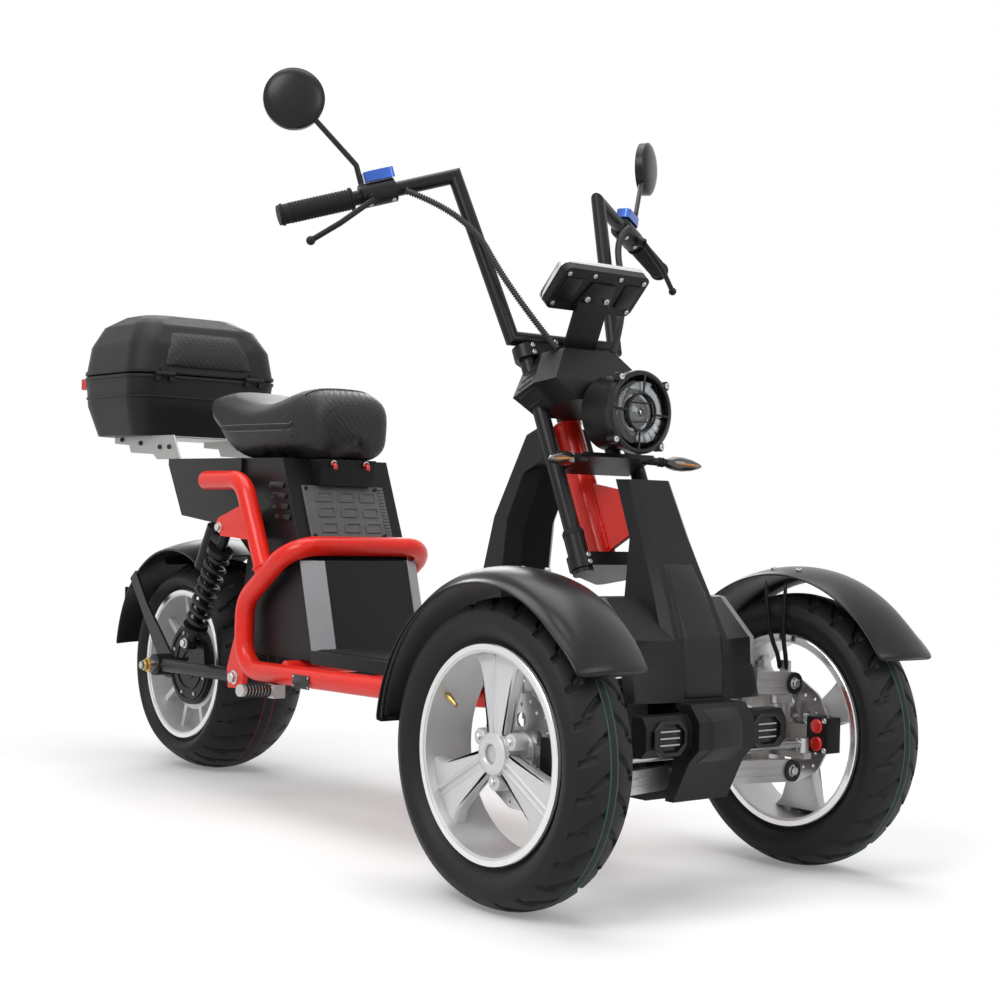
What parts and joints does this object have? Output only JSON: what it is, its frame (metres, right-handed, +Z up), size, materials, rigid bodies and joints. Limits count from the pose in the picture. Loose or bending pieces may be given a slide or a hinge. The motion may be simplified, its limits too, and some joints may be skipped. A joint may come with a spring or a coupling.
{
  "type": "three-wheeled electric scooter",
  "caption": "Electric scooter with steered twin front wheels, a wide driven rear wheel, tube frame, swept-up handlebar, long seat and a hinged top case.",
  "frame": {"origin": "on the ground, under the middle of the bounding box", "axes": "+X forward, +Y to the rider's left, +Z up"},
  "size_m": [2.143, 0.94, 1.3614],
  "materials": {
    "red_paint": "gloss",
    "black_paint": "satin",
    "black_plastic": "satin",
    "grey_trim": "satin",
    "seat_vinyl": "matte",
    "grip_rubber": "matte",
    "bare_aluminium": "satin",
    "wheel_silver": "satin",
    "tyre_rubber": "matte",
    "steel": "brushed",
    "lamp_glass": "clear",
    "amber_lens": "gloss",
    "red_lens": "gloss",
    "mirror_silver": "polished",
    "screen_glass": "gloss",
    "blue_cap": "gloss",
    "black_latch": "satin"
  },
  "bodies": {
    "chassis": {"frame": "red_paint", "head_tube": "red_paint", "front_post": "black_paint", "deck": "black_plastic", "battery_box": "black_plastic", "box_trims": "grey_trim", "seat_tower": "black_plastic", "tower_panel": "grey_trim", "seat": "seat_vinyl", "latch_box": "black_plastic", "tail_plates": "black_paint", "case_brackets": "bare_aluminium", "case_base": "black_plastic", "case_latch": "black_latch", "case_reflectors": "red_lens", "swingarm": "black_paint", "rear_axle": "steel", "shocks": "black_paint", "shock_springs": "black_paint", "rear_fender": "black_plastic", "foot_pegs": "bare_aluminium", "front_carrier": "black_paint", "front_arms": "bare_aluminium", "uprights": "bare_aluminium", "nose_cover": "black_plastic", "bumper": "black_plastic"},
    "steering": {"fork": "black_paint", "handlebar": "black_paint", "grips": "grip_rubber", "controls": "black_plastic", "reservoir_caps": "blue_cap", "mirrors": "black_plastic", "mirror_glass": "mirror_silver", "display": "black_plastic", "display_screen": "screen_glass", "shroud": "black_plastic", "headlight": "black_plastic", "headlight_lens": "lamp_glass", "turn_signals": "amber_lens", "cables": "black_plastic"},
    "knuckle_left": {"knuckle_left": "bare_aluminium", "fender_left": "black_plastic", "caliper_left": "black_paint"},
    "knuckle_right": {"knuckle_right": "bare_aluminium", "fender_right": "black_plastic", "caliper_right": "black_paint"},
    "front_wheel_left": {"front_rim_left": "wheel_silver", "front_tyre_left": "tyre_rubber", "brake_disc_left": "steel"},
    "front_wheel_right": {"front_rim_right": "wheel_silver", "front_tyre_right": "tyre_rubber", "brake_disc_right": "steel"},
    "rear_wheel": {"rear_rim": "wheel_silver", "rear_tyre": "tyre_rubber", "hub_motor": "black_paint"},
    "tie_rod": {"tie_rod": "steel"},
    "case_lid": {"case_lid": "black_plastic"}
  },
  "joints": [
    {"name": "steering_turn", "type": "hinge", "parent": "chassis", "child": "steering", "pos_m": [0.67852, 0, 0.491], "axis": [-0.4067, 0, 0.9135], "range_deg": [-35, 35]},
    {"name": "knuckle_left_turn", "type": "hinge", "parent": "chassis", "child": "knuckle_left", "pos_m": [0.82552, 0.258, 0.2364], "axis": [0, 0, 1], "range_deg": [-28, 28]},
    {"name": "front_wheel_left_spin", "type": "hinge", "parent": "knuckle_left", "child": "front_wheel_left", "pos_m": [0.82552, 0.328, 0.2364], "axis": [0, 1, 0], "continuous": true},
    {"name": "knuckle_right_turn", "type": "hinge", "parent": "chassis", "child": "knuckle_right", "pos_m": [0.82552, -0.258, 0.2364], "axis": [0, 0, 1], "range_deg": [-28, 28]},
    {"name": "front_wheel_right_spin", "type": "hinge", "parent": "knuckle_right", "child": "front_wheel_right", "pos_m": [0.82552, -0.328, 0.2364], "axis": [0, 1, 0], "continuous": true},
    {"name": "tie_rod_turn", "type": "hinge", "parent": "knuckle_right", "child": "tie_rod", "pos_m": [0.89752, -0.256, 0.206], "axis": [0, 0, 1], "range_deg": [-28, 28]},
    {"name": "rear_wheel_spin", "type": "hinge", "parent": "chassis", "child": "rear_wheel", "pos_m": [-0.63648, 0, 0.2384], "axis": [0, 1, 0], "continuous": true},
    {"name": "case_lid_open", "type": "hinge", "parent": "chassis", "child": "case_lid", "pos_m": [-0.71248, 0, 0.896], "axis": [0, 1, 0], "range_deg": [0, 75]}
  ],
  "couplings": [
    {"joint": "knuckle_left_turn", "follows": "steering_turn", "ratio": 0.8},
    {"joint": "knuckle_right_turn", "follows": "steering_turn", "ratio": 0.8},
    {"joint": "tie_rod_turn", "follows": "steering_turn", "ratio": -0.8}
  ]
}
